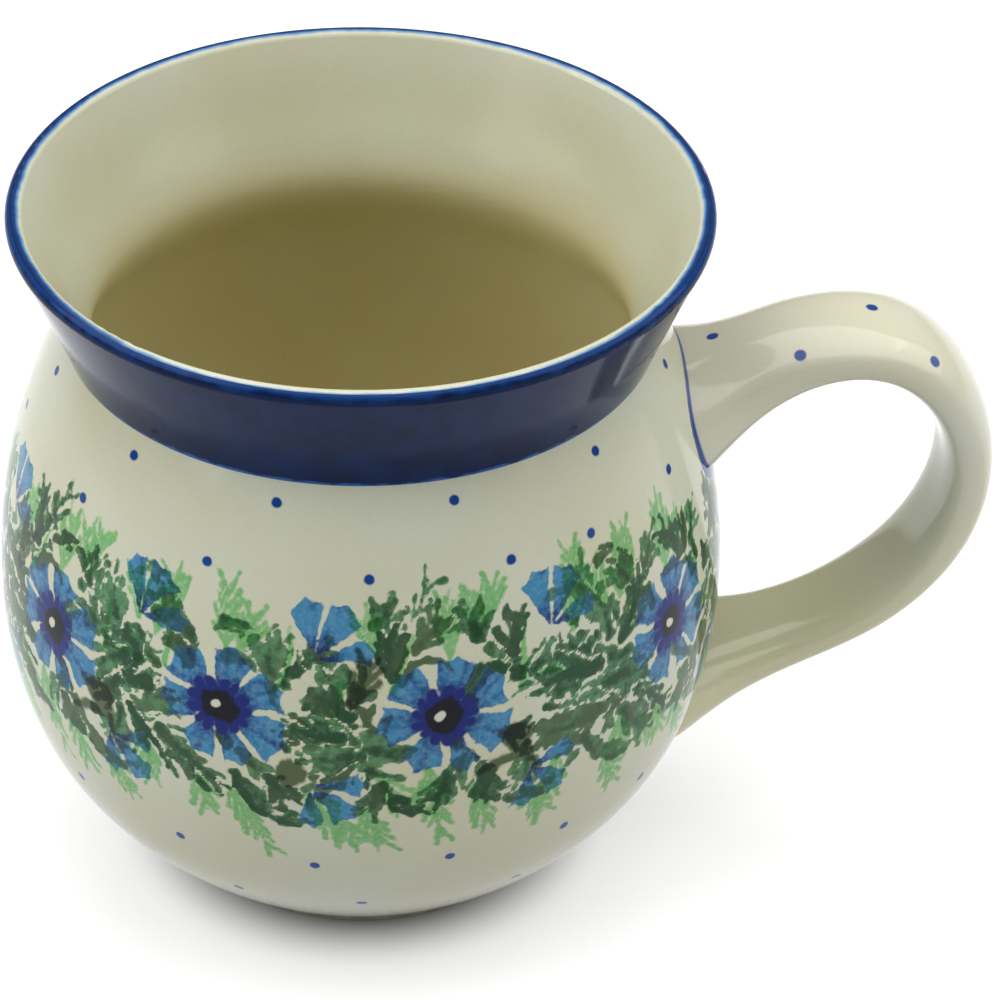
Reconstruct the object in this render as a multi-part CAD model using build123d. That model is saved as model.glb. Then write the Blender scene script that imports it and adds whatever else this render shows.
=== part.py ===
from build123d import *

import math
import os

# Polish stoneware mug with a round belly, a flared collar and a strap handle.
# Millimetres. The origin is on the mug's axis in the plane that the foot
# stands on, +Z is up, and the handle points along +X. Outlines are given as
# (distance from the axis, height) pairs on the clay, and a coat of glaze
# covers the clay with an even thickness.

# Driving dimensions.
height = 100.5                 # from the foot to the crest of the glazed lip
glaze = 0.3                    # thickness of every glaze coat
slip = 0.5                     # thickness of the luting slip at the handle's ends

# Foot: a bare clay ring round a glazed recess.
foot_radius = 25.0
foot_ring_width = 4.6
foot_edge_round = 0.4
bare_band_height = 1.9         # clay left bare below the wall glaze
recess_depth = 2.2
recess_corner = 2.2            # how far the recess is rounded where it meets the ring
recess_bare_rim = 0.7          # clay left bare above the ring, inside the recess

# Belly, on the outside of the clay, from the glaze's lower edge to the neck.
belly_outline = [
    (25.4, bare_band_height),
    (33.9, 8.9),
    (42.5, 19.4),
    (45.9, 27.0),
    (48.5, 46.0),
    (45.8, 65.2),
    (43.4, 72.9),
    (38.9, 82.3),
]

# Collar and lip.
lip_radius = 46.0              # widest radius of the clay lip
lip_round = 0.9                # radius of the lip's rounded edge
collar_hollow = 0.15           # how far the collar is hollowed between neck and lip
collar_slope = 66.0            # of the collar's outside, in degrees from level
inner_slope = 64.0             # of its inside
colour_line_angle = 63.0       # where cobalt meets cream on the lip, from level

# Inside of the clay wall, from below the lip down to the edge of the flat floor.
cavity_outline = [
    (39.7, 90.6),
    (35.9, 82.2),
    (39.4, 73.6),
    (42.6, 65.0),
    (45.2, 46.0),
    (42.2, 26.5),
    (34.5, 14.0),
    (24.0, 7.8),
    (14.0, 6.4),
]

# Handle centreline, from inside the wall at its upper end, over the arch and
# down to inside the wall at its lower end.
handle_line = [
    (39.5, 66.2),
    (54.1, 72.9),
    (67.3, 76.1),
    (78.0, 69.8),
    (82.5, 54.8),
    (75.9, 38.5),
    (60.7, 28.5),
    (46.5, 23.9),
    (38.0, 22.2),
]

# Strap sections, glaze included: fraction of the centreline's length, half
# width across the strap, half thickness in the plane of the handle.
strap_sections = [
    (0.00, 14.0, 8.8),
    (0.05, 12.0, 6.9),
    (0.11, 9.4, 4.9),
    (0.18, 8.6, 4.1),
    (0.30, 8.9, 3.8),
    (0.44, 8.6, 3.5),
    (0.58, 8.2, 3.3),
    (0.72, 7.8, 3.1),
    (0.82, 7.8, 3.2),
    (0.89, 9.4, 4.2),
    (0.94, 12.2, 6.0),
    (1.00, 14.8, 8.2),
]
outer_fullness = 2.2           # exponent of the strap's rounded outer side
inner_fullness = 3.0           # exponent of its flatter side, towards the fingers
section_points = 20            # points on each section's outline

same_place = 0.001             # points nearer than this are one point

# Middle of the lip's rounded edge.
lip_centre = Vector(lip_radius - lip_round, 0, height - glaze - lip_round)


def in_plane(points):
    """Turn (radius, height) pairs into points of the outline's plane."""
    return [Vector(radius, 0, z) for radius, z in points]


def revolve_outline(edges):
    """Solid of revolution about the mug's axis inside a closed outline."""
    return revolve(make_face(edges), axis=Axis.Z)


def offset_points(points, distance, **ends):
    """Move an outline's points along its normals, to the right of its direction."""
    curve = Spline(*points, **ends)
    moved = []
    for place in points:
        tangent = curve.tangent_at(curve.param_at_point(place))
        moved.append(place + Vector(tangent.Z, 0, -tangent.X) * distance)
    return moved


def lip_point(angle, distance):
    """Point on the lip at this angle above level, this far outside the clay."""
    turn = math.radians(angle)
    return lip_centre + Vector(math.cos(turn), 0, math.sin(turn)) * (lip_round + distance)


def lip_arc(start_angle, end_angle, distance):
    middle = (start_angle + end_angle) / 2
    return ThreePointArc(*[lip_point(angle, distance) for angle in (start_angle, middle, end_angle)])


def neck_point(distance):
    """Corner between belly and collar, at an even distance from both."""
    belly = in_plane(belly_outline)
    belly_way = Spline(*belly).tangent_at(1)
    collar_way = (lip_point(collar_slope - 90, 0) - belly[-1]).normalized()
    belly_normal = Vector(belly_way.Z, 0, -belly_way.X)
    collar_normal = Vector(collar_way.Z, 0, -collar_way.X)
    bisector = (belly_normal + collar_normal).normalized()
    return belly[-1] + bisector * (distance / bisector.dot(belly_normal))


def belly_curve(distance):
    """Belly from the glaze's lower edge to the neck, this far outside the clay."""
    points = offset_points(in_plane(belly_outline), distance)
    return Spline(*points[:-1], neck_point(distance))


def collar_curve(distance):
    """Collar from the neck to the lip, slightly hollow, this far outside the clay."""
    low = neck_point(distance)
    high = lip_point(collar_slope - 90, distance)
    way = (high - low).normalized()
    middle = (low + high) / 2 - Vector(way.Z, 0, -way.X) * collar_hollow
    return ThreePointArc(low, middle, high)


def cavity_edges(distance):
    """Inside of the wall from below the lip to the floor's middle, this far off the clay."""
    start = lip_point(90 + inner_slope, 0)
    turn = math.radians(inner_slope)
    ways = [Vector(-math.cos(turn), 0, -math.sin(turn)), Vector(-1, 0, 0)]
    points = offset_points([start, *in_plane(cavity_outline)], distance, tangents=ways)
    wall = Spline(*points, tangents=ways)
    return [wall, Line(wall @ 1, Vector(0, 0, points[-1].Z))]


def recess_edges(distance):
    """Recess under the foot from its middle to its bare rim, this far below the clay."""
    rim = foot_radius - foot_ring_width - distance
    flat_end = Vector(rim - recess_corner, 0, recess_depth - distance)
    corner_end = Vector(rim, 0, recess_bare_rim)
    return [
        Line(Vector(0, 0, recess_depth - distance), flat_end),
        Spline(flat_end, corner_end, tangents=[Vector(1, 0, 0), Vector(0, 0, -1)]),
    ]


def foot_edges():
    """Bare clay from the recess round the foot ring to the glaze's lower edge."""
    ring_inside = foot_radius - foot_ring_width
    ring = Polyline(
        (ring_inside, 0, recess_bare_rim),
        (ring_inside + foot_edge_round, 0, 0),
        (foot_radius - foot_edge_round, 0, 0),
        (foot_radius, 0, foot_edge_round),
        (foot_radius, 0, bare_band_height),
        (belly_outline[0][0], 0, belly_outline[0][1]),
    )
    return ring.edges()


def coat(inner_edges, outer_edges):
    """Thin solid between two outlines that run the same way."""
    start = (inner_edges[0] @ 0, outer_edges[0] @ 0)
    end = (inner_edges[-1] @ 1, outer_edges[-1] @ 1)
    closing = [Line(*ends) for ends in (start, end) if (ends[0] - ends[1]).length > same_place]
    return revolve_outline([*inner_edges, *outer_edges, *closing])


def make_body():
    floor_to_base = Line(Vector(0, 0, cavity_outline[-1][1]), Vector(0, 0, recess_depth))
    edges = [
        *recess_edges(0),
        *foot_edges(),
        belly_curve(0),
        collar_curve(0),
        lip_arc(collar_slope - 90, colour_line_angle, 0),
        lip_arc(colour_line_angle, 90 + inner_slope, 0),
        *cavity_edges(0),
        floor_to_base,
    ]
    return revolve_outline(edges)


def make_envelope(distance):
    """The belly and collar as if solid, grown outwards by a distance."""
    belly = belly_curve(distance)
    collar = collar_curve(distance)
    closing = Polyline(collar @ 1, (0, 0, (collar @ 1).Z), (0, 0, (belly @ 0).Z), belly @ 0)
    return revolve_outline([belly, collar, *closing.edges()])


def strap_section(plane, half_width, half_thickness):
    """Rounded section of the strap, flatter on the side towards the fingers."""
    outline = []
    for step in range(section_points):
        angle = 2 * math.pi * step / section_points
        across, out = math.cos(angle), math.sin(angle)
        power = 2 / (outer_fullness if out > 0 else inner_fullness)
        across_part = math.copysign(abs(across) ** power, across)
        out_part = math.copysign(abs(out) ** power, out)
        outline.append((half_width * across_part, half_thickness * out_part))
    return make_face(plane * Spline(*outline, periodic=True))


def make_strap(shrink):
    """The whole strap, with both ends inside the wall, this far inside the glaze."""
    line = Spline(*in_plane(handle_line))
    faces = []
    for fraction, half_width, half_thickness in strap_sections:
        plane = Plane(origin=line @ fraction, x_dir=(0, 1, 0), z_dir=line % fraction)
        faces.append(strap_section(plane, half_width - shrink, half_thickness - shrink))
    return loft(faces)


def make_coats(strap, strap_core, wall):
    lip_outer = (collar_slope - 90, colour_line_angle)
    lip_inner = (colour_line_angle, 90 + inner_slope)
    wall_coat = coat([belly_curve(0)], [belly_curve(glaze)])
    return {
        "wall_glaze": wall_coat - strap,
        "collar_glaze": coat([collar_curve(0), lip_arc(*lip_outer, 0)],
                             [collar_curve(glaze), lip_arc(*lip_outer, glaze)]),
        "lining_glaze": coat([lip_arc(*lip_inner, 0), *cavity_edges(0)],
                             [lip_arc(*lip_inner, glaze), *cavity_edges(glaze)]),
        "base_glaze": coat(recess_edges(0), recess_edges(glaze)),
        "handle_glaze": strap - strap_core - wall,
    }


def make_slip_joints(strap_core, wall, slipped_wall):
    """The two pads of slip between the wall and the handle's ends, lower one first."""
    pads = (strap_core & slipped_wall) - wall
    return pads.solids().sort_by(Axis.Z)


def make_parts():
    strap = make_strap(0)
    strap_core = make_strap(glaze)
    wall = make_envelope(0)
    slipped_wall = make_envelope(slip)
    lower_pad, upper_pad = make_slip_joints(strap_core, wall, slipped_wall)
    return {
        "body": make_body(),
        "handle": strap_core - slipped_wall,
        "upper_slip_joint": upper_pad,
        "lower_slip_joint": lower_pad,
        **make_coats(strap, strap_core, wall),
    }


os.makedirs("parts", exist_ok=True)
for name, shape in make_parts().items():
    solids = shape.solids()
    print(name, len(solids), "solid(s)", round(sum(solid.volume for solid in solids) / 1000, 2), "cm3")
    export_step(Compound(solids) if len(solids) > 1 else solids[0], f"parts/{name}.step")
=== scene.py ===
import math
import random

import bpy
import numpy as np
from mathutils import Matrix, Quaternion, Vector, kdtree


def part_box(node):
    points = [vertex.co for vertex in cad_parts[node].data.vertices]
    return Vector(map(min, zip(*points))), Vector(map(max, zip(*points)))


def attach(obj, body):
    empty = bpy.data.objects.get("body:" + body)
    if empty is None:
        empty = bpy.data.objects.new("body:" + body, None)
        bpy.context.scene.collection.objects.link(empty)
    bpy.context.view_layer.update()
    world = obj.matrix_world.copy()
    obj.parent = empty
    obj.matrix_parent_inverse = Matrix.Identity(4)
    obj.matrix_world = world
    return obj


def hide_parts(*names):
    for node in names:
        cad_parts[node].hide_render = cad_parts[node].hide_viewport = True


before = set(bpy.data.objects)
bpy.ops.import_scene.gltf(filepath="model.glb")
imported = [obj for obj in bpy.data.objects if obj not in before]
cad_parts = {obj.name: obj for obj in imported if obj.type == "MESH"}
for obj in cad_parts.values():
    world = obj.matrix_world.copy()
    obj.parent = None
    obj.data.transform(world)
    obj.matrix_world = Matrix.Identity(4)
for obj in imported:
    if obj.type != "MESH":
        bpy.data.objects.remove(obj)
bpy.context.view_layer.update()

# A glazed stoneware mug with a painted wreath. Lengths in the painting code are
# millimetres, and everything that Blender gets is in metres. On the wall a place
# is (azimuth, height) or, near a flower, (x, y): millimetres along and up the wall.
# Azimuths on the wall are degrees from the handle, anticlockwise as seen from above.

MM = 0.001

# ------------------------------------------------------------------ camera

CAMERA_ELEVATION = 34.7        # degrees above the horizon
CAMERA_AZIMUTH = -5.5          # degrees round from looking along +Y
CAMERA_DISTANCE = 0.7076       # from the point that it first aims at
CAMERA_PAN = 1.518             # then it turns this far to the right, in degrees
CAMERA_LENS = 188.4            # mm, on a sensor 36 mm wide
AIM_HEIGHT = 0.5294            # of the mug's height


def direction(azimuth, elevation):
    """Unit vector towards a viewer or a light, with azimuths like the camera's."""
    azimuth, elevation = math.radians(azimuth), math.radians(elevation)
    return Vector((
        math.sin(azimuth) * math.cos(elevation),
        -math.cos(azimuth) * math.cos(elevation),
        math.sin(elevation),
    ))


def make_camera():
    """A long lens aimed at the mug's middle, then panned a little to the right."""
    foot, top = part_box("body")
    aim = Vector((0, 0, foot.z + AIM_HEIGHT * (top.z - foot.z)))
    back = direction(CAMERA_AZIMUTH, CAMERA_ELEVATION)
    data = bpy.data.cameras.new("camera")
    data.lens = CAMERA_LENS
    data.sensor_width = 36
    camera = bpy.data.objects.new("camera", data)
    camera.location = aim + back * CAMERA_DISTANCE
    camera.rotation_mode = "QUATERNION"
    pan = Quaternion((0, 1, 0), -math.radians(CAMERA_PAN))
    camera.rotation_quaternion = (-back).to_track_quat("-Z", "Y") @ pan
    bpy.context.scene.collection.objects.link(camera)
    bpy.context.scene.camera = camera


# ------------------------------------------------------------------ the wall's grid

WREATH_HEIGHT = 52.1           # mm, of the flowers' centres
MM_PER_DEGREE = 0.852          # along the wall at that height
COLUMNS = 864                  # of vertices round the wall
FINE_ROW = 0.35                # mm between rows in the wreath
COARSE_ROW = 0.75              # mm between rows above and below it
WREATH_BELOW, WREATH_ABOVE = 23.0, 21.0   # mm along the wall from the flowers' centres
INNER_ROWS = 16
PROFILE_DEGREE = 14            # of the polynomial through the coat's outside
PROFILE_SAMPLES = 4001         # heights at which distances along the wall are summed
OUTWARD = 0.2                  # least outward share of a normal on the coat's outside
CORNER_ANGLE = 40              # degrees, above which an edge of the wall coat is sharp


def world_vertices(node):
    """An object's vertices in the frame's axes, in millimetres."""
    places = np.empty(len(node.data.vertices) * 3)
    node.data.vertices.foreach_get("co", places)
    turn = np.array(node.matrix_world)
    return (places.reshape(-1, 3) @ turn[:3, :3].T + turn[:3, 3]) / MM


def wall_profile(node):
    """The coat's outside as a function from height to radius, and its height range.

    It is read on the side away from the handle, where no strap cuts into the coat.
    """
    places = world_vertices(node)
    outer = set()
    for face in node.data.polygons:
        centre = places[list(face.vertices)].mean(axis=0)
        away = centre[:2] / np.hypot(*centre[:2])
        if centre[0] < 0 and np.dot(face.normal[:2], away) > OUTWARD:
            outer.update(face.vertices)
    points = places[sorted(outer)]
    height = points[:, 2]
    radius = np.hypot(points[:, 0], points[:, 1])
    curve = np.polynomial.Chebyshev.fit(height, radius, PROFILE_DEGREE)
    return curve, height.min(), height.max()


def outline_rows(curve, low, high):
    """Heights of the rows of vertices, and their distance along the wall from the wreath's middle."""
    heights = np.linspace(low, high, PROFILE_SAMPLES)
    steps = np.hypot(np.diff(heights), np.diff(curve(heights)))
    along = np.concatenate([[0], np.cumsum(steps)])
    along -= np.interp(WREATH_HEIGHT, heights, along)
    spans = (
        (along[0], -WREATH_BELOW, COARSE_ROW),
        (-WREATH_BELOW, WREATH_ABOVE, FINE_ROW),
        (WREATH_ABOVE, along[-1], COARSE_ROW),
    )
    rows = [np.linspace(start, end, round((end - start) / size), endpoint=False)
            for start, end, size in spans]
    rows = np.concatenate([*rows, along[-1:]])
    return np.interp(rows, along, heights), rows


def revolve_shell(name, outline, azimuths):
    """Closed mesh of a ring-shaped outline of (radius, height) pairs swept round the axis."""
    radius, height = outline[:, :1], outline[:, 1:]
    turn = np.radians(azimuths)[None, :]
    places = np.stack([radius * np.cos(turn), radius * np.sin(turn), height + 0 * turn], axis=-1)
    row, column = np.meshgrid(np.arange(len(outline)), np.arange(len(azimuths)), indexing="ij")
    next_row, next_column = (row + 1) % len(outline), (column + 1) % len(azimuths)
    corners = [(row, column), (row, next_column), (next_row, next_column), (next_row, column)]
    faces = np.stack([r * len(azimuths) + c for r, c in corners], axis=-1)
    mesh = bpy.data.meshes.new(name)
    mesh.from_pydata((places.reshape(-1, 3) * MM).tolist(), [], faces.reshape(-1, 4).tolist())
    mesh.shade_smooth()
    mesh.set_sharp_from_angle(angle=math.radians(CORNER_ANGLE))
    return mesh


# ------------------------------------------------------------------ drawing of the wreath

FLOWER_AZIMUTHS = (-151.7, -117.6, -82.8, -38.4, 0.0, 34.7, 69.4, 104.2, 138.9, 173.6)
PATCH_HALF_WIDTH = 27          # mm of wall on either side of a flower that its leaves may reach
AWAY = -3.0                    # mm, depth given to places far from any paint
SEED = 5

# Petals are wedges: middle and half-width in degrees, and outer radius in mm.
PETALS = (
    (135, 22, 9.3), (76, 23, 9.0), (24, 21, 9.6), (-27, 22, 10.4),
    (-70, 13, 9.4), (-116, 21, 9.0), (187, 22, 9.1),
)
UPPER_FAN = ((104, 17, 8.4), (60, 20, 8.6), (8, 16, 7.9))
LOWER_FAN = ((-92, 17, 7.6), (-44, 19, 8.0), (6, 16, 7.2))
PETAL_START = 2.4              # mm from the flower's centre
FAN_START = 0.3
PETAL_MARGIN = 0.6             # mm round a petal where its shade is stored too
TOOTH = 0.95                   # mm, depth of the teeth at a petal's outer edge
RING_RADIUS = 2.9
RING_BUMPS, RING_BUMP_RADIUS, RING_BUMP_MIDDLE = 13, 0.72, (2.3, 3.75)
EYE_RADIUS = 2.45
EYE_DOT_RADIUS = 0.75
DOT_RADIUS = 0.7
DOT_REACH = 2.0                # mm round a dot where its position is worth storing

# How each kind of stroke is drawn: radius of its spine, pairs of lobes, their
# length and radius, and the sides that carry them (both, the inner or the outer).
STROKES = {
    "oak": (1.0, 4, 2.7, 0.66, "both"),
    "hook": (0.9, 7, 3.5, 0.72, "inner"),
    "outer_hook": (0.9, 7, 3.3, 0.7, "outer"),
    "sprig": (0.6, 6, 2.6, 0.6, "both"),
    "stroke": (0.9, 0, 0, 0, "both"),
    "blob": (2.1, 0, 0, 0, "both"),
    "mass": (1.3, 6, 3.2, 0.75, "both"),
    "fern": (0.45, 6, 2.7, 0.45, "both"),
    "stem": (0.55, 0, 0, 0, "both"),
}
LEAF_GAP = 0.27                # mm, from a leaf's outline to the middle of the gap round it
LEAF_GAP_DEPTH = 0.75          # mm, taken from the leaves painted before
STROKE_STEP = 1.8              # mm, about the length of one straight piece of a spine
LOBE_LEAN = 48                 # degrees between a lobe and its spine
LOBE_SWAY = 12                 # degrees, by which that angle varies
LEAF_HUES = (0.0, 0.0, 0.15, 0.35, 0.6)   # from green to olive
LEAF_TONES = (0.05, 0.75)      # range of the leaves' darkness
SPINE_TONE = 0.6               # added along a leaf's spine

# Waves that keep drawn outlines from looking exact: size in mm, how many go round
# the wall, and how fast they turn up it, in radians per mm.
WOBBLE_X = ((0.22, 29, 0.31), (0.16, 61, -0.83))
WOBBLE_Y = ((0.22, 37, 0.47), (0.16, 53, -0.71))

# Every stroke starts at (x, y) mm from the flower's centre and runs for a length
# while its heading turns by a bend: (kind, x, y, heading, length, bend).
LEAVES_A = (
    ("hook", -6.5, 6.5, 60, 14, 110), ("oak", -7.5, 8.5, 110, 5, 10), ("hook", 8.8, 5, 85, 13, 95),
    ("stroke", 0.5, 7.3, 30, 8, -90), ("stroke", 6.8, 5.5, -80, 5, 10), ("oak", -4.5, 5, 120, 4, 0),
    ("blob", 12.7, 2.7, 0, 1.8, 0), ("stroke", 12.2, 3.2, 115, 2, 0), ("stroke", 15, 3.2, 70, 2, 0),
    ("oak", 16, -1, 185, 8, 15), ("mass", 20, -5, 175, 9, 10), ("oak", -7.5, -1.5, 180, 7, 10),
    ("oak", -10, 3.5, 160, 5, -10), ("stem", -5.5, -5.6, 175, 7, 10),
    ("outer_hook", -13.5, -5, -50, 18, 45), ("oak", -8.5, -6.5, -45, 9, 15),
    ("stroke", 0.3, -4.5, -55, 5.5, 20), ("oak", 3.5, -7, -50, 6, 10), ("hook", 2.4, -10, -88, 12, 75),
    ("oak", -15, 1, 120, 6, 20), ("mass", -13, -1, 200, 6, 10),
)
OLIVE_A = (("blob", 9.6, -8.6, 0, 1.4, 0), ("oak", 18, 3, 60, 6, 20))
FERNS_A = (
    ("fern", -7, 12, 105, 5, 0), ("fern", 0.5, 8.5, 88, 9, 5), ("fern", 2.8, 9, 75, 5, 0),
    ("stem", 7.8, 4, 68, 9, 20), ("fern", 1.5, -12.5, -70, 12, 10), ("fern", -3.5, -12, -75, 5.5, 0),
    ("fern", -10.8, -8.5, -92, 7, 5), ("fern", 11.7, -11.5, -55, 10, -10),
    ("fern", 17, -17, -60, 4, 0), ("stem", -8.5, 4, 75, 5, 0), ("fern", -13, 9, 95, 6, 8),
)
LEAVES_B = (
    ("sprig", -7, 5.5, 78, 15, -20), ("oak", -6.8, 9.5, 90, 6.5, 10), ("hook", 10.4, 4, 88, 16, 90),
    ("stroke", -5.5, 6.2, 80, 8, -120), ("hook", 8.7, 4.8, 110, 7.5, 130),
    ("blob", 15.5, 2.7, 0, 1.8, 0), ("stroke", 15, 3.2, 115, 2, 0), ("stroke", 17.8, 3.2, 70, 2, 0),
    ("oak", 19.5, 1.5, 170, 9, 10), ("oak", 14.5, -2, -30, 7, 10), ("hook", 4.6, -8.5, -92, 14, 95),
    ("hook", -10.3, -6.5, -95, 12, 70), ("oak", -8.2, -3.2, 115, 10, 10),
    ("mass", -5.5, -5, 170, 12, 10), ("stroke", 1.2, -3.5, -60, 5, 15), ("oak", 2.5, -7, -110, 5, 0),
    ("stroke", -9.5, -8, -20, 4.5, 10), ("oak", 21, -3, 200, 7, 10), ("oak", 8, -4, -25, 5, 10),
)
OLIVE_B = (
    ("blob", 10, -5.3, 0, 1.5, 0), ("stroke", 11.2, -6, -80, 4.5, 10), ("stroke", 10.5, -8, 190, 6, 10),
)
FERNS_B = (
    ("fern", -9, 10, 110, 5, 0), ("fern", 0.8, 8.5, 88, 8, 5), ("fern", 5.2, 11, 95, 6, 0),
    ("fern", 7.3, 14, 85, 3.5, 0), ("stem", 10.8, 2.5, 85, 7, 0), ("stem", -6.8, 4.5, 68, 8, 0),
    ("fern", -2.5, -8, -80, 12.5, 5), ("fern", -8.5, -9, -60, 6, 0), ("fern", -11, -14, -65, 8, 0),
    ("fern", 4.3, -12, -75, 8, 0), ("fern", 11, -14.5, -60, 7, 0), ("stem", -13.4, 5.5, -95, 6, 0),
    ("stem", 17, 3, 175, 4.5, 0), ("fern", 19, 8, 80, 6, 5),
)
FANS_A = ((12.7, 9.0, UPPER_FAN), (12, -10.5, LOWER_FAN))
FANS_B = ((16.0, 9.5, UPPER_FAN), (12, -10.5, LOWER_FAN))
FAN_CLEAR = 25                 # degrees either side of the handle without upper fans
VARIANTS = ((LEAVES_A, OLIVE_A, FERNS_A, FANS_A), (LEAVES_B, OLIVE_B, FERNS_B, FANS_B))

# Leaves that fill the wider gap before the flower at -38.4 degrees.
GAP_AZIMUTH = -58.0
GAP_LEAVES = (
    ("oak", 1, 8, 85, 8, 20), ("hook", 4, 4, 80, 14, 80), ("mass", 1, 1, 170, 8, 10),
    ("oak", 3, -2, -20, 8, 10), ("mass", 2, -6, 190, 9, -10), ("oak", 6, 3, 40, 8, 20),
    ("hook", -1, -9, -80, 12, 70), ("oak", 6, -8, -60, 8, 10),
)
GAP_FERNS = (("fern", 0, 12, 95, 7, 0), ("fern", 7, 9, 75, 9, 5), ("fern", 3, -13, -75, 8, 5),
             ("fern", -5, -11, -100, 7, 0), ("fern", 9, -11, -55, 7, 0))

# Small leaves scattered round every flower to close the wreath.
FILLER_COUNT = 25
FILLER_REACH = (17.5, 10.5)    # mm from the flower's centre, along and up the wall
# Circles that they keep clear, as x, y and radius: the flower and its fans.
FILLER_CLEAR = ((0, 0, 9.2), (15, 13, 7), (15, -13, 6), (-14, 13, 7), (-14, -13, 6))

# Rows of blue dots: height, azimuths of those in front, number of others spread behind.
DOT_ROWS = (
    (79.5, (-173.2, -141.0, -110.7, -78.7, -48.0, -16.0), 5),
    (71.4, (-180.9, -149.6, -121.7, -94.2, -70.0, -54.0, -30.9), 6),
    (27.0, (-149.3, -126.6, -103.1, -81.0, -60.0, -41.3), 11),
    (16.4, (-119.1, -95.4, -65.0), 10),
)
DOT_SCATTER = 0.5              # mm


def segment_depth(x, y, start, end, start_radius, end_radius):
    """How deep each place lies inside a round-ended stroke that may taper, in mm."""
    way = (end[0] - start[0], end[1] - start[1])
    length = math.hypot(*way) or 1e-6
    share = ((x - start[0]) * way[0] + (y - start[1]) * way[1]) / length ** 2
    share = np.clip(share, 0, 1)
    distance = np.hypot(x - start[0] - share * way[0], y - start[1] - share * way[1])
    return start_radius + (end_radius - start_radius) * share - distance


def stroke_depth(x, y, stroke, draw):
    """Depth inside one stroke's spine and inside its lobes."""
    kind, start_x, start_y, heading, length, bend = stroke
    girth, pairs, reach, lobe_girth, sides = STROKES[kind]
    count = max(3, round(length / STROKE_STEP)) + 1
    place = (start_x, start_y)
    spine = np.full(x.shape, AWAY)
    lobes = np.full(x.shape, AWAY)
    lobe_steps = {max(1, round((pair + 0.7) * (count - 1) / max(pairs, 1))) for pair in range(pairs)}
    for step in range(1, count):
        share = step / (count - 1)
        turn = math.radians(heading + bend * share)
        size = length / (count - 1)
        following = (place[0] + size * math.cos(turn), place[1] + size * math.sin(turn))
        radii = [girth * (1.1 - 0.6 * part) for part in (share - 1 / (count - 1), share)]
        spine = np.maximum(spine, segment_depth(x, y, place, following, *radii))
        if step in lobe_steps:
            inner = 1 if bend >= 0 else -1
            turned = {"both": (1, -1), "inner": (inner,), "outer": (-inner,)}[sides]
            for side in turned:
                lean = turn + side * math.radians(LOBE_LEAN + draw.uniform(-LOBE_SWAY, LOBE_SWAY))
                size_share = (1.1 - 0.4 * share) * draw.uniform(0.8, 1.2)
                tip = (following[0] + reach * size_share * math.cos(lean),
                       following[1] + reach * size_share * math.sin(lean))
                depth = segment_depth(x, y, place, tip, lobe_girth * 0.8, lobe_girth * size_share)
                lobes = np.maximum(lobes, depth)
        place = following
    return spine, lobes


def wedge_depth(x, y, wedges, start_radius):
    """Depth inside toothed petals round a centre, and how dark their streaks are."""
    angle = np.degrees(np.arctan2(y, x))
    radius = np.hypot(x, y)
    depth = np.full(x.shape, AWAY)
    for middle, half_width, outer in wedges:
        off = (angle - middle + 180) % 360 - 180
        side = radius * np.sin(np.radians(np.clip(half_width - np.abs(off), -90, 90)))
        teeth = TOOTH * np.abs(np.sin(np.radians(off * 180 / half_width * 0.75)))
        petal = np.minimum(side, outer - teeth - radius)
        depth = np.maximum(depth, np.minimum(petal, radius - start_radius))
    # Petals are dark at the root, with radial streaks that grow stronger towards the rim.
    streaks = 0.5 + 0.5 * np.cos(np.radians(angle * 19)) * np.cos(np.radians(angle * 7 + 40))
    root = np.clip(1.25 - (radius - start_radius) / 4.2, 0, 1)
    rim = np.clip((radius - 5.5) / 3.0, 0, 0.7)
    return depth, np.clip(root + streaks * (0.25 + rim), 0, 1)


# What the shader reads at each vertex of the wall, with its value where nothing is
# painted: depths inside shapes, shades within them, and distances in mm.
LAYERS = {
    "petal_edge": AWAY, "ring_edge": AWAY, "eye_edge": AWAY, "eye_dot": AWAY,
    "leaf_edge": AWAY, "fern_edge": AWAY, "olive_edge": AWAY,
    "petal_dark": 0.0, "leaf_tone": 0.0, "leaf_hue": 0.0,
    "dot_x": 0.0, "dot_y": 0.0, "dot_near": 0.0,
    "joint_line": -AWAY,
}


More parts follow.
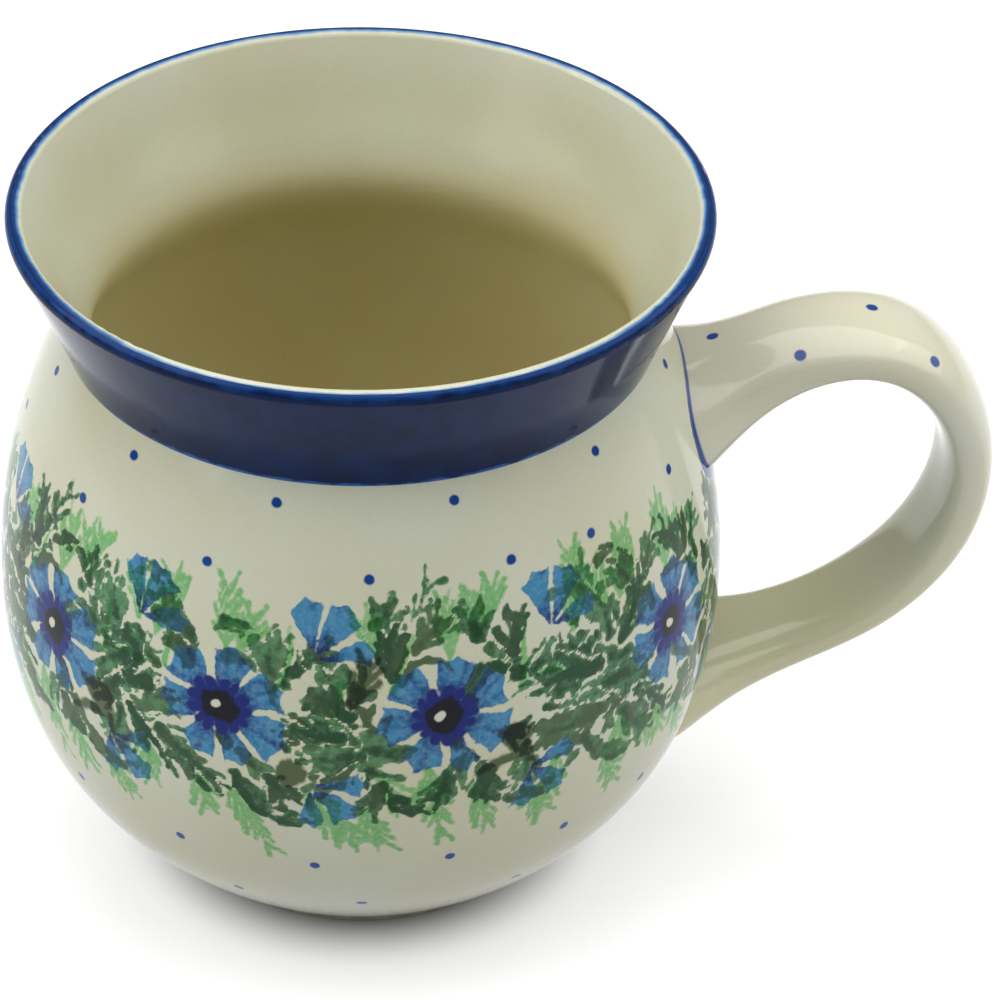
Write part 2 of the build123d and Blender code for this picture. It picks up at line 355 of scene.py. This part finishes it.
class WallPaint:
    """Paint on the wall, kept as numbers at the grid's vertices until the shader colours them."""

    def __init__(self, azimuths, along, heights, radii):
        self.azimuths, self.along, self.heights, self.radii = azimuths, along, heights, radii
        shape = (len(along), len(azimuths))
        self.layers = {name: np.full(shape, bare) for name, bare in LAYERS.items()}
        self.wobble_x = self.wobble(WOBBLE_X)
        self.wobble_y = self.wobble(WOBBLE_Y)

    def wobble(self, waves):
        """How far each vertex's place is pushed aside, in mm, when flowers and leaves are drawn."""
        turn = np.radians(self.azimuths)[None, :]
        rise = self.along[:, None]
        return sum(size * np.sin(around * turn + up * rise) for size, around, up in waves)

    def patch(self, azimuth):
        """Columns near an azimuth, and the wobbly place of each vertex there."""
        off = (self.azimuths - azimuth + 180) % 360 - 180
        columns = np.flatnonzero(np.abs(off) * MM_PER_DEGREE < PATCH_HALF_WIDTH)
        x = off[columns][None, :] * MM_PER_DEGREE + self.wobble_x[:, columns]
        y = self.along[:, None] + self.wobble_y[:, columns]
        return columns, x, y

    def deepen(self, name, columns, depth):
        """Add a shape to a layer, which keeps the greater depth at every vertex."""
        self.layers[name][:, columns] = np.maximum(self.layers[name][:, columns], depth)

    def strokes(self, azimuth, layer, strokes, draw):
        """Draw strokes round a flower into a layer, each leaf with its own tone."""
        columns, x, y = self.patch(azimuth)
        for stroke in strokes:
            spine, lobes = stroke_depth(x, y, stroke, draw)
            if layer == "leaf_edge":
                self.part_leaves(columns, np.maximum(spine, lobes))
                self.tint_leaf(columns, spine, lobes, draw)
            self.deepen(layer, columns, np.maximum(spine, lobes))

    def part_leaves(self, columns, depth):
        """Thin the leaves painted before along the outline of a new one."""
        gap = np.clip(1 - np.abs(depth + LEAF_GAP) / LEAF_GAP, 0, 1)
        self.layers["leaf_edge"][:, columns] -= LEAF_GAP_DEPTH * gap

    def tint_leaf(self, columns, spine, lobes, draw):
        """Give a leaf its own darkness and hue, and pale the leaves before it just round it."""
        depth = np.maximum(spine, lobes)
        inside = np.clip(depth / 0.3 + 0.5, 0, 1)
        halo = np.clip(1 - np.abs(depth + 0.45) / 0.35, 0, 1)
        tone = self.layers["leaf_tone"][:, columns] * (1 - 0.8 * inside) * (1 - 0.7 * halo)
        own = draw.uniform(*LEAF_TONES) + SPINE_TONE * np.clip(spine / 0.9, 0, 1)
        self.layers["leaf_tone"][:, columns] = tone + own * inside
        hue = self.layers["leaf_hue"][:, columns] * (1 - inside)
        self.layers["leaf_hue"][:, columns] = hue + draw.choice(LEAF_HUES) * inside

    def petals(self, azimuth, centre, wedges, start_radius):
        """Draw the petals of a flower, or of a fan beside it, with their shades."""
        columns, x, y = self.patch(azimuth)
        depth, dark = wedge_depth(x - centre[0], y - centre[1], wedges, start_radius)
        self.deepen("petal_edge", columns, depth)
        here = depth > -PETAL_MARGIN
        self.layers["petal_dark"][:, columns] = np.where(here, dark, self.layers["petal_dark"][:, columns])

    def flower_heart(self, azimuth):
        """The ring of small bumps, the dark eye and its light dot."""
        columns, x, y = self.patch(azimuth)
        radius, angle = np.hypot(x, y), np.arctan2(y, x)
        ring = RING_RADIUS - radius
        for bump in range(RING_BUMPS):
            turn = 2 * math.pi * bump / RING_BUMPS
            start, end = [(far * math.cos(turn), far * math.sin(turn)) for far in RING_BUMP_MIDDLE]
            bump_depth = segment_depth(x, y, start, end, RING_BUMP_RADIUS, RING_BUMP_RADIUS)
            ring = np.maximum(ring, bump_depth)
        self.deepen("ring_edge", columns, ring)
        lumps = 0.1 * np.sin(5 * angle + 1) + 0.1 * np.sin(11 * angle)
        self.deepen("eye_edge", columns, EYE_RADIUS + lumps - radius)
        self.deepen("eye_dot", columns, EYE_DOT_RADIUS - np.hypot(x + 0.5, y))

    def dot(self, azimuth, height):
        """Store the offset from a dot's middle at the vertices round it."""
        radius = np.interp(height, self.heights, self.radii)
        rise = self.along - np.interp(height, self.heights, self.along)
        x = ((self.azimuths - azimuth + 180) % 360 - 180) * math.radians(radius)
        near = np.hypot(x[None, :], rise[:, None]) < DOT_REACH
        self.layers["dot_near"][near] = 1
        self.layers["dot_x"][near] = np.broadcast_to(x[None, :], near.shape)[near]
        self.layers["dot_y"][near] = np.broadcast_to(rise[:, None], near.shape)[near]


def filler_leaves(draw):
    """Short leaves that point roughly away from the flower."""
    strokes = []
    while len(strokes) < FILLER_COUNT:
        x = draw.uniform(-FILLER_REACH[0], FILLER_REACH[0])
        y = draw.uniform(-FILLER_REACH[1], FILLER_REACH[1])
        if all(math.hypot(x - near_x, y - near_y) > clear for near_x, near_y, clear in FILLER_CLEAR):
            heading = math.degrees(math.atan2(1.3 * y, 0.6 * x)) + draw.uniform(-45, 45)
            strokes.append(("oak", x, y, heading, draw.uniform(3.5, 6), draw.uniform(-40, 40)))
    return strokes


def paint_wreath(paint):
    """Stamp the flowers, leaves and ferns of the whole wreath."""
    for index, azimuth in enumerate(FLOWER_AZIMUTHS):
        draw = random.Random(SEED + index)
        leaves, olives, ferns, fans = VARIANTS[(index + 1) % len(VARIANTS)]
        paint.petals(azimuth, (0, 0), PETALS, PETAL_START)
        for x, y, wedges in fans:
            if wedges is LOWER_FAN or abs(azimuth + x / MM_PER_DEGREE) > FAN_CLEAR:
                paint.petals(azimuth, (x + draw.uniform(-0.5, 0.5), y), wedges, FAN_START)
        leaves = [*leaves, *filler_leaves(draw)]
        for layer, strokes in (("leaf_edge", leaves), ("olive_edge", olives), ("fern_edge", ferns)):
            paint.strokes(azimuth, layer, strokes, draw)
        paint.flower_heart(azimuth)
    draw = random.Random(SEED)
    paint.strokes(GAP_AZIMUTH, "leaf_edge", GAP_LEAVES, draw)
    paint.strokes(GAP_AZIMUTH, "fern_edge", GAP_FERNS, draw)


def paint_dots(paint):
    """Place each row's dots: those in front one by one, the others evenly behind."""
    draw = random.Random(SEED)
    for height, front, others in DOT_ROWS:
        behind = np.linspace(front[-1], front[0] + 360, others + 2)[1:-1]
        for azimuth in (*front, *behind):
            paint.dot(azimuth, height + draw.uniform(-DOT_SCATTER, DOT_SCATTER))


JOINT_REACH = 28               # degrees either side of the handle's middle


def strap_crossing(node, curve, low, high):
    """Points, in mm, where the strap's surface comes out of the wall coat's outside."""
    places = world_vertices(node)
    off = np.hypot(places[:, 0], places[:, 1]) - curve(np.clip(places[:, 2], low, high))
    points = []
    for edge in node.data.edges:
        first, second = edge.vertices
        if off[first] * off[second] < 0:
            share = off[first] / (off[first] - off[second])
            points.append(places[first] + share * (places[second] - places[first]))
    return points


def paint_joint_line(paint, places, points):
    """Store how far the wall's vertices near the handle are from the strap's edge."""
    tree = kdtree.KDTree(len(points))
    for index, point in enumerate(points):
        tree.insert(point, index)
    tree.balance()
    spread = places.reshape(len(paint.along), len(paint.azimuths), 3)
    columns = np.flatnonzero(np.abs((paint.azimuths + 180) % 360 - 180) < JOINT_REACH)
    for row in range(len(paint.along)):
        for column in columns:
            distance = tree.find(spread[row, column])[2]
            paint.layers["joint_line"][row, column] = min(distance, -AWAY)


def coat_outline(curve, heights, thickness):
    """The coat's outside from the foot to the neck, then its inside back down."""
    outer = np.stack([curve(heights), heights], axis=-1)
    inner_heights = np.linspace(heights[-1], heights[0], INNER_ROWS)
    slope = curve.deriv()(inner_heights)
    normal = np.stack([np.ones_like(slope), -slope], axis=-1) / np.hypot(1, slope)[:, None]
    inner = np.stack([curve(inner_heights), inner_heights], axis=-1) - thickness * normal
    return np.concatenate([outer, inner])


def store_layers(mesh, layers):
    """Write the paint to the outside's vertices, which come first, and leave the inside bare."""
    for name, values in layers.items():
        full = np.full(len(mesh.vertices), LAYERS[name])
        full[:values.size] = values.ravel()
        mesh.attributes.new(name, "FLOAT", "POINT").data.foreach_set("value", full)


def make_painted_wall():
    """Replace the CAD's wall coat by one with the same outline and a fine, painted grid."""
    curve, low, high = wall_profile(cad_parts["wall_glaze"])
    heights, along = outline_rows(curve, low, high)
    azimuths = np.arange(COLUMNS) * 360 / COLUMNS
    thickness = (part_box("wall_glaze")[1].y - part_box("body")[1].y) / MM
    mesh = revolve_shell("painted_wall", coat_outline(curve, heights, thickness), azimuths)
    wall = bpy.data.objects.new("painted_wall", mesh)
    bpy.context.scene.collection.objects.link(wall)

    paint = WallPaint(azimuths, along, heights, curve(heights))
    paint_wreath(paint)
    paint_dots(paint)
    outside = world_vertices(wall)[:len(heights) * COLUMNS]
    paint_joint_line(paint, outside, strap_crossing(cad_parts["handle_glaze"], curve, low, high))
    store_layers(mesh, paint.layers)
    mesh.materials.append(painted_wall_material())
    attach(wall, "root")
    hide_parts("wall_glaze")


# ------------------------------------------------------------------ materials

def linear(red, green, blue):
    """A colour given as 0 to 255 screen values, as the renderer's linear values."""
    channels = []
    for value in (red, green, blue):
        share = value / 255
        channels.append(share / 12.92 if share <= 0.04045 else ((share + 0.055) / 1.055) ** 2.4)
    return (*channels, 1.0)


class Shader:
    """One material's node tree, with short calls that make a node and join its inputs."""

    def __init__(self, name):
        self.material = bpy.data.materials.new(name)
        self.material.use_nodes = True
        self.tree = self.material.node_tree
        self.tree.nodes.clear()

    def node(self, kind, *inputs, **settings):
        """Add a node, with its inputs as pairs of a slot and a value or an output."""
        made = self.tree.nodes.new("ShaderNode" + kind)
        for name, value in settings.items():
            setattr(made, name, value)
        for slot, value in inputs:
            if isinstance(value, bpy.types.NodeSocket):
                self.tree.links.new(value, made.inputs[slot])
            else:
                made.inputs[slot].default_value = value
        return made

    def math(self, operation, *values, clamp=False):
        made = self.node("Math", *enumerate(values), operation=operation, use_clamp=clamp)
        return made.outputs[0]

    def attribute(self, name):
        """A number that the wall's vertices carry under this name."""
        return self.node("Attribute", attribute_name=name).outputs["Fac"]

    def place(self):
        """Position on the object, in metres."""
        return self.node("TexCoord").outputs["Object"]

    def axis(self, name):
        """One coordinate of the position, in millimetres."""
        parts = self.node("SeparateXYZ", ("Vector", self.place()))
        return self.math("DIVIDE", parts.outputs[name], MM)

    def radius(self):
        """Distance from the mug's axis, in millimetres."""
        squares = [self.math("POWER", self.axis(name), 2.0) for name in "XY"]
        return self.math("SQRT", self.math("ADD", *squares))

    def noise(self, size, detail=2.0, roughness=0.5):
        """Noise from 0 to 1 whose grains are about this many millimetres across."""
        made = self.node(
            "TexNoise",
            ("Vector", self.place()),
            ("Scale", 1 / (size * MM)),
            ("Detail", detail),
            ("Roughness", roughness),
        )
        return made.outputs["Fac"]

    def step(self, value, low, high, to_low=0.0, to_high=1.0):
        """Go smoothly from one value to the other as value goes from low to high."""
        made = self.node(
            "MapRange",
            ("Value", value),
            ("From Min", low),
            ("From Max", high),
            ("To Min", to_low),
            ("To Max", to_high),
            interpolation_type="SMOOTHSTEP",
        )
        return made.outputs["Result"]

    def mix(self, share, first, second, blend="MIX"):
        """Blend from the first colour to the second as share goes from 0 to 1."""
        made = self.node("Mix", data_type="RGBA", blend_type=blend)
        for slot, value in ((0, share), (6, first), (7, second)):
            if isinstance(value, bpy.types.NodeSocket):
                self.tree.links.new(value, made.inputs[slot])
            else:
                made.inputs[slot].default_value = value
        return made.outputs[2]

    def finish(self, colour, roughness, height=None, bump_depth=0.0, specular=0.5, glow=None):
        """Make the surface from a colour, a roughness and a height map in millimetres."""
        inputs = [("Base Color", colour), ("Roughness", roughness), ("Specular IOR Level", specular)]
        if height is not None:
            bump = self.node("Bump", ("Height", height), ("Distance", bump_depth * MM), ("Strength", 1.0))
            inputs.append(("Normal", bump.outputs["Normal"]))
        if glow is not None:
            inputs += [("Emission Color", WHITE), ("Emission Strength", glow)]
        surface = self.node("BsdfPrincipled", *inputs)
        self.node("OutputMaterial", ("Surface", surface.outputs["BSDF"]))
        return self.material


CREAM = linear(172, 175, 158)
CREAM_WARM = linear(170, 169, 146)
IRON_SPECK = linear(112, 90, 62)
BARE_CLAY = linear(158, 156, 134)
BARE_CLAY_DARK = linear(128, 122, 98)
SLIP = linear(170, 168, 146)
COBALT = linear(8, 29, 66)
COBALT_DEEP = linear(6, 21, 52)
COBALT_THIN = linear(16, 46, 94)
NECK_BLUE = linear(44, 84, 142)
FRINGE_BLUE = linear(70, 112, 150)
PETAL_BLUE = linear(48, 109, 144)
PETAL_DARK = linear(10, 50, 104)
RING_BLUE = linear(10, 26, 92)
EYE_BLACK = linear(6, 8, 20)
DOT_BLUE = linear(16, 52, 116)

# What leaves and ferns let through of the colour under them.
LEAF_PALE = (0.20, 0.47, 0.29, 1.0)
LEAF_DARK = (0.025, 0.11, 0.06, 1.0)
LEAF_OLIVE = (0.14, 0.20, 0.12, 1.0)
FERN_GREEN = (0.17, 0.62, 0.24, 1.0)
FERN_PALE = (0.38, 0.80, 0.40, 1.0)
WHITE = (1.0, 1.0, 1.0, 1.0)
FOOT_SHADE = (0.75, 0.75, 0.76, 1.0)   # painted shade that darkens the wall low on the belly
FOOT_SHADE_FROM = (46.0, 8.0)       # mm, heights between which the painted shade grows towards the foot

GLAZE_ROUGHNESS = 0.09
GLAZE_SPECULAR = 0.28
COBALT_SPECULAR = 0.065
PAINTED_SPECULAR = 0.14
LINING_SPECULAR = 0.2
LINING_ROUGHNESS = 0.2         # softer than on the outside
GLAZE_WAVE = 9.0               # mm from crest to crest of the glaze's slow waves
GLAZE_WAVE_DEPTH = 0.03        # mm

HANDLE_TINT = (1.06, 1.04, 1.08, 1.0)   # the handle's glaze against the wall's
HANDLE_LOW_TINT = (1.04, 1.0, 0.87, 1.0)    # the same, yellower lower down the strap
HANDLE_LOW_TINT_FROM = (58.0, 36.0)         # mm, heights between which it turns from one to the other
WALL_WIDEST = (48.8, 46.0)     # mm, radius and height where the belly is widest
WALL_NARROWING = 0.0073        # mm of radius for every mm above there, squared
# Middles of the handle's blue dots, in mm.
HANDLE_DOTS = (
    (47.4, 1.7, 75.4), (57.8, -6.9, 77.3), (57.4, 6.6, 78.4), (68.7, 0.7, 79.4), (76.1, -6.9, 75.2),
    (80.5, 6.8, 69.5), (85.6, 0.4, 58.0), (82.6, -6.6, 45.6), (79.0, 6.4, 38.6), (70.6, 0.2, 30.6),
    (60.2, -6.4, 26.4), (55.0, 6.0, 24.2),
)


def cream_colour(shader):
    """Cream glaze with soft warm clouds, a fine grain and a few iron specks."""
    clouds = shader.step(shader.noise(30, 2), 0.3, 0.7)
    colour = shader.mix(clouds, CREAM, CREAM_WARM)
    grain = shader.step(shader.noise(0.5, 3), 0.2, 0.8, 0.975, 1.015)
    colour = shader.mix(1.0, colour, grain, "MULTIPLY")
    cells = shader.node("TexVoronoi", ("Vector", shader.place()), ("Scale", 1 / (3.4 * MM)))
    near = shader.step(cells.outputs["Distance"], 0.02, 0.055, 1.0, 0.0)
    chosen = shader.math("GREATER_THAN", shader.node(
        "SeparateColor", ("Color", cells.outputs["Color"])).outputs["Red"], 0.9)
    speck = shader.math("MULTIPLY", shader.math("MULTIPLY", near, chosen), 0.4)
    return shader.mix(speck, colour, IRON_SPECK)


def glaze_height(shader):
    """Slow waves and a faint orange peel in a glaze's surface."""
    waves = shader.noise(GLAZE_WAVE, 1.0)
    peel = shader.math("MULTIPLY", shader.noise(1.6, 1.0), 0.05)
    return shader.math("ADD", waves, peel)


def glaze_finish(shader, colour, specular=GLAZE_SPECULAR, roughness=GLAZE_ROUGHNESS):
    """Make a glossy surface with the glaze's slow waves."""
    return shader.finish(colour, roughness, glaze_height(shader), GLAZE_WAVE_DEPTH, specular)


def painted_area(shader, name, soft, ragged):
    """Share of paint from a stored depth, with an edge that noise makes ragged."""
    return shader.step(shader.math("ADD", shader.attribute(name), ragged), -soft, soft)


def wash(shader, colour, share, pigment):
    """Lay transparent pigment over a colour."""
    return shader.mix(1.0, colour, shader.mix(share, WHITE, pigment), "MULTIPLY")


def add_petals(shader, colour, ragged, mottle):
    """Blue petals, and their share, which the leaves over them need."""
    share = painted_area(shader, "petal_edge", 0.15, ragged)
    share = shader.math("MULTIPLY", share, shader.step(mottle, 0.2, 0.6, 0.85, 1.0))
    streak = shader.math("ADD", shader.attribute("petal_dark"), shader.step(mottle, 0.3, 0.7, -0.1, 0.1))
    petal = shader.mix(shader.step(streak, 0.3, 1.15), PETAL_BLUE, PETAL_DARK)
    return shader.mix(share, colour, petal), share


def add_ferns(shader, colour, ragged, mottle, patches):
    """Light green ferns and stems, then a few olive strokes."""
    share = painted_area(shader, "fern_edge", 0.22, ragged)
    share = shader.math("MULTIPLY", share, shader.step(mottle, 0.3, 0.6, 0.8, 1.0))
    colour = wash(shader, colour, share, shader.mix(patches, FERN_GREEN, FERN_PALE))
    return wash(shader, colour, painted_area(shader, "olive_edge", 0.3, ragged), LEAF_OLIVE)


def add_leaves(shader, colour, mottle, patches, petal_share):
    """Leaves with lobed edges, thinner where they lie over a petal."""
    lobed = shader.step(shader.noise(1.5, 1.5, 0.5), 0.3, 0.7, -0.3, 0.22)
    share = painted_area(shader, "leaf_edge", 0.15, lobed)
    share = shader.math("MULTIPLY", share, shader.step(petal_share, 0, 1, 1, 0.72))
    tone = shader.math("ADD", shader.attribute("leaf_tone"), shader.step(mottle, 0.25, 0.75, -0.2, 0.2))
    tone = shader.math("ADD", tone, shader.step(patches, 0.3, 0.7, -0.2, 0.2))
    leaf = shader.mix(shader.step(tone, -0.15, 0.9), LEAF_PALE, LEAF_DARK)
    drift = shader.step(shader.noise(3, 2), 0.3, 0.7, -0.2, 0.2)
    hue = shader.math("ADD", shader.attribute("leaf_hue"), drift)
    leaf = shader.mix(shader.step(hue, 0.0, 1.0), leaf, LEAF_OLIVE)
    return wash(shader, colour, share, leaf)


def add_hearts(shader, colour, fine):
    """The flowers' blue ring, dark eye and light dot."""
    colour = shader.mix(painted_area(shader, "ring_edge", 0.2, fine), colour, RING_BLUE)
    colour = shader.mix(painted_area(shader, "eye_edge", 0.2, fine), colour, EYE_BLACK)
    return shader.mix(painted_area(shader, "eye_dot", 0.15, fine), colour, CREAM)


def add_dots_and_line(shader, colour, ragged, fine):
    """The rows of blue dots and the blue line round the handle's ends."""
    across = shader.math("POWER", shader.attribute("dot_x"), 2.0)
    up = shader.math("POWER", shader.attribute("dot_y"), 2.0)
    distance = shader.math("SQRT", shader.math("ADD", across, up))
    distance = shader.math("ADD", distance, shader.math("MULTIPLY", ragged, 0.25))
    dot_share = shader.step(distance, DOT_RADIUS - 0.15, DOT_RADIUS + 0.15, 1.0, 0.0)
    dot_share = shader.math("MULTIPLY", dot_share, shader.step(shader.attribute("dot_near"), 0.5, 0.9))
    line = shader.math("ADD", shader.attribute("joint_line"), fine)
    line_share = shader.step(line, 1.1, 1.4, 0.95, 0.0)
    return shader.mix(shader.math("MAXIMUM", dot_share, line_share), colour, DOT_BLUE)


def painted_wall_material():
    """Cream glaze over blue flowers, green leaves, blue dots and the line at the handle."""
    shader = Shader("painted_wall")
    # painted shade: the cream darkens towards the foot
    colour = wash(shader, cream_colour(shader), shader.step(shader.axis("Z"), *FOOT_SHADE_FROM), FOOT_SHADE)
    ragged = shader.step(shader.noise(1.0, 2), 0.25, 0.75, -0.16, 0.16)
    fine = shader.math("MULTIPLY", ragged, 0.5)
    mottle = shader.noise(0.7, 3, 0.6)
    patches = shader.noise(1.5, 3)
    colour, petal_share = add_petals(shader, colour, ragged, mottle)
    colour = add_ferns(shader, colour, ragged, mottle, patches)
    colour = add_leaves(shader, colour, mottle, patches, petal_share)
    colour = add_hearts(shader, colour, fine)
    colour = add_dots_and_line(shader, colour, ragged, fine)
    return glaze_finish(shader, colour, PAINTED_SPECULAR)


def handle_material():
    """Cream glaze with blue dots, and the blue line where the strap's upper end meets the wall."""
    shader = Shader("handle_cream")
    low_share = shader.step(shader.axis("Z"), *HANDLE_LOW_TINT_FROM)
    colour = wash(shader, cream_colour(shader), 1.0, shader.mix(low_share, HANDLE_TINT, HANDLE_LOW_TINT))
    for point in HANDLE_DOTS:
        middle = tuple(value * MM for value in point)
        distance = shader.node(
            "VectorMath", (0, shader.place()), (1, middle), operation="DISTANCE").outputs["Value"]
        share = shader.step(distance, 0.65 * MM, 1.0 * MM, 1.0, 0.0)
        colour = shader.mix(share, colour, DOT_BLUE)
    rise = shader.math("SUBTRACT", shader.axis("Z"), WALL_WIDEST[1])
    narrowing = shader.math("MULTIPLY", shader.math("POWER", rise, 2.0), WALL_NARROWING)
    wall = shader.math("SUBTRACT", WALL_WIDEST[0], narrowing)
    gap = shader.math("SUBTRACT", shader.radius(), wall)
    line = shader.math("MULTIPLY", shader.step(gap, 0.2, 0.5, 0.95, 0.0), shader.step(rise, 0.0, 2.0))
    colour = shader.mix(line, colour, DOT_BLUE)
    return glaze_finish(shader, colour)


LIP_RADIUS = 1.2               # mm, of the glazed lip's rounded edge
LIP_FRONT_LINE = 60.0          # degrees up the lip where cobalt ends at the front
LIP_BACK_LINE = 109.0          # and at the sides and the back
LIP_FRONT_Y = (-45.0, -12.0)   # mm, between which the line climbs
LINING_SHADE = (101.0, 90.0)   # mm, heights between which painted shade darkens the lining
LINING_PAINTED_SHADE = (0.85, 0.83, 0.75, 1.0)
LINING_DEEP_LIGHT_FROM = (88.0, 78.0)     # and warmer, where the glaze pools
LINING_DEEP_LIGHT = (1.19, 1.06, 0.72, 1.0)


def add_lip_line(shader, colour):
    """Carry the collar's cobalt over the lip's crest, up to a soft pale blue fringe."""
    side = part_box("collar_glaze")[1].y / MM
    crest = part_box("lining_glaze")[1].z / MM
    out = shader.math("SUBTRACT", shader.radius(), side - LIP_RADIUS)
    rise = shader.math("SUBTRACT", shader.axis("Z"), crest - LIP_RADIUS)
    angle = shader.math("DEGREES", shader.math("ARCTAN2", rise, out))
    line = shader.step(shader.axis("Y"), *LIP_FRONT_Y, LIP_FRONT_LINE, LIP_BACK_LINE)
    past = shader.math("SUBTRACT", angle, line)
    past = shader.math("ADD", past, shader.step(shader.noise(3, 2), 0.2, 0.8, -5, 5))
    on_lip = shader.step(rise, 0.0, 0.15)
    for start, end, paint in ((0, 22, FRINGE_BLUE), (-14, 4, COBALT_THIN), (-40, -12, COBALT)):
        share = shader.math("MULTIPLY", shader.step(past, start, end, 1.0, 0.0), on_lip)
        colour = shader.mix(share, colour, paint)
    return colour


def lining_material():
    """Cream lining with painted shade below the lip, and painted light deep in the belly that also turns
    it yellower there.
    """
    shader = Shader("lining_cream")
    height = shader.axis("Z")
    cream = cream_colour(shader)
    # painted shade on the lining below the lip
    shaded = wash(shader, cream, shader.step(height, *LINING_SHADE), LINING_PAINTED_SHADE)
    # painted light deep in the belly, which also turns the lining yellower
    warm = wash(shader, cream, 1.0, LINING_DEEP_LIGHT)
    colour = shader.mix(shader.step(height, *LINING_DEEP_LIGHT_FROM), shaded, warm)
    colour = add_lip_line(shader, colour)
    return glaze_finish(shader, colour, LINING_SPECULAR, LINING_ROUGHNESS)


def collar_material():
    """Cobalt glaze, thin and paler where it ends at the neck and on the lip."""
    shader = Shader("collar_cobalt")
    low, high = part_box("collar_glaze")
    height = shader.axis("Z")
    clouds = shader.step(shader.noise(5, 3), 0.3, 0.7)
    colour = shader.mix(clouds, COBALT_DEEP, COBALT)
    uneven = shader.math("ADD", height, shader.step(shader.noise(2.5, 3), 0.2, 0.8, -0.35, 0.35))
    neck = shader.step(uneven, low.z / MM + 0.1, low.z / MM + 0.9, 1.0, 0.0)
    colour = shader.mix(neck, colour, COBALT_THIN)
    fringe = shader.step(uneven, low.z / MM + 0.2, low.z / MM + 0.6, 0.8, 0.0)
    colour = shader.mix(fringe, colour, NECK_BLUE)
    lip = shader.step(uneven, high.z / MM - 0.9, high.z / MM - 0.1)
    colour = shader.mix(lip, colour, COBALT_THIN)
    return glaze_finish(shader, colour, COBALT_SPECULAR)


def clay_material(name, colour, dark):
    """Bare fired clay: matte and faintly sandy, with patches of the darker colour."""
    shader = Shader(name)
    patches = shader.step(shader.noise(4, 3), 0.3, 0.7)
    mixed = shader.mix(patches, colour, dark)
    grain = shader.step(shader.noise(0.35, 3), 0.2, 0.8, 0.9, 1.05)
    mixed = shader.mix(1.0, mixed, grain, "MULTIPLY")
    return shader.finish(mixed, 0.8, shader.noise(0.6, 2), 0.04, 0.3)


def cream_material(name):
    """Plain cream glaze."""
    shader = Shader(name)
    return glaze_finish(shader, cream_colour(shader))


def dress_cad_nodes():
    """Give a material to each CAD node that is shown as it is."""
    clay = clay_material("bare_clay", BARE_CLAY, BARE_CLAY_DARK)
    slip = clay_material("luting_slip", SLIP, BARE_CLAY)
    dressed = {
        "body": clay,
        "handle": clay,
        "upper_slip_joint": slip,
        "lower_slip_joint": slip,
        "lining_glaze": lining_material(),
        "collar_glaze": collar_material(),
        "base_glaze": cream_material("base_cream"),
        "handle_glaze": handle_material(),
    }
    for name, material in dressed.items():
        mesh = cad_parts[name].data
        mesh.materials.clear()
        mesh.materials.append(material)


# ------------------------------------------------------------------ light and floor

BOX_DISTANCE = 1.1             # m, from the mug's middle to every light
BOX_TARGET = Vector((0, 0, 0.05))
SKY_STRENGTH = 0.24


def soft_box(name, azimuth, elevation, size, power):
    """A rectangular light that faces the mug, with azimuths like the camera's."""
    back = direction(azimuth, elevation)
    data = bpy.data.lights.new(name, "AREA")
    data.shape = "RECTANGLE"
    data.size, data.size_y = size
    data.energy = power
    light = bpy.data.objects.new(name, data)
    light.location = BOX_TARGET + back * BOX_DISTANCE
    light.rotation_mode = "QUATERNION"
    light.rotation_quaternion = (-back).to_track_quat("-Z", "Y")
    bpy.context.scene.collection.objects.link(light)


FLOOR_SIZE = 6.0               # m, from the middle to an edge
FLOOR_PALE = (0.44, 0.44, 0.44, 1.0)
PAINTED_FLOOR_GLOW = 0.54              # painted glow that brightens the floor and throws light up at the mug
PAINTED_FLOOR_GLOW_FROM = (23.0, 35.0)  # mm from the mug's axis, where the painted glow sets in round the foot, leaving the shadow there dark


def make_floor():
    """Plain pale table with a painted glow, left out under and round the foot so that the shadow there
    stays dark.
    """
    shader = Shader("pale_floor")
    cloud = shader.step(shader.noise(60, 2), 0.2, 0.8, 0.99, 1.0)
    colour = shader.mix(1.0, FLOOR_PALE, cloud, "MULTIPLY")
    # painted glow on the floor, none under and round the foot
    glow = shader.step(shader.radius(), *PAINTED_FLOOR_GLOW_FROM, 0.0, PAINTED_FLOOR_GLOW)
    material = shader.finish(colour, 0.6, specular=0.1, glow=glow)
    mesh = bpy.data.meshes.new("floor")
    corners = [(FLOOR_SIZE * x, FLOOR_SIZE * y, 0) for x, y in ((-1, -1), (1, -1), (1, 1), (-1, 1))]
    mesh.from_pydata(corners, [], [(0, 1, 2, 3)])
    mesh.materials.append(material)
    floor = bpy.data.objects.new("floor", mesh)
    bpy.context.scene.collection.objects.link(floor)


def make_studio():
    """An even sky, a light overhead and one at each side, and the floor."""
    scene = bpy.context.scene
    scene.view_settings.view_transform = "Standard"
    world = bpy.data.worlds.new("studio")
    scene.world = world
    world.use_nodes = True
    background = world.node_tree.nodes["Background"]
    background.inputs["Color"].default_value = WHITE
    background.inputs["Strength"].default_value = SKY_STRENGTH
    soft_box("overhead", 160, 86, (1.5, 1.5), 22)
    soft_box("left", -84, 38, (1.2, 0.75), 9.1)
    soft_box("right", 83, 38, (1.2, 0.75), 6.9)
    make_floor()


# ------------------------------------------------------------------ main

make_camera()
make_painted_wall()
dress_cad_nodes()
make_studio()
